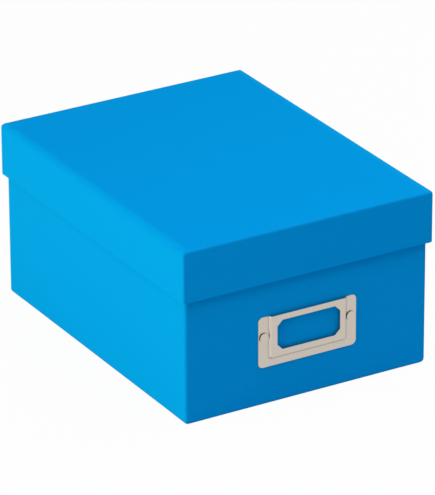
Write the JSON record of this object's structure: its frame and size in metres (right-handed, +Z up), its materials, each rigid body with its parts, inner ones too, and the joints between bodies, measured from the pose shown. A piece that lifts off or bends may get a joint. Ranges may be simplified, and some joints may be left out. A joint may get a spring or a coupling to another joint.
{
  "type": "card storage box",
  "caption": "Rigid cardboard box with a lift-off lid, both wrapped in blue paper, and a metal label holder pinned to its short front wall.",
  "frame": {"origin": "centre of the underside, on the surface that the box stands on", "axes": "+Z up, -Y out of the short wall that carries the label holder, +X to the right as seen from the front"},
  "size_m": [0.17, 0.22, 0.112],
  "materials": {
    "greyboard": "matte",
    "blue_paper": "matte",
    "white_paper": "matte",
    "kraft_tape": "satin",
    "nickel_steel": "satin"
  },
  "bodies": {
    "base": {"base_board": "greyboard", "base_lining": "white_paper", "base_cover": "blue_paper", "base_bottom_sheet": "blue_paper", "base_stay_front_left": "kraft_tape", "base_stay_front_right": "kraft_tape", "base_stay_back_left": "kraft_tape", "base_stay_back_right": "kraft_tape", "label_holder": "nickel_steel", "holder_pin_left": "nickel_steel", "holder_pin_right": "nickel_steel"},
    "lid": {"lid_board": "greyboard", "lid_lining": "white_paper", "lid_cover": "blue_paper", "lid_stay_front_left": "kraft_tape", "lid_stay_front_right": "kraft_tape", "lid_stay_back_left": "kraft_tape", "lid_stay_back_right": "kraft_tape"}
  },
  "joints": [
    {"name": "lid_lift", "type": "slide", "parent": "base", "child": "lid", "axis": [0, 0, 1], "range_m": [0, 0.12]}
  ]
}
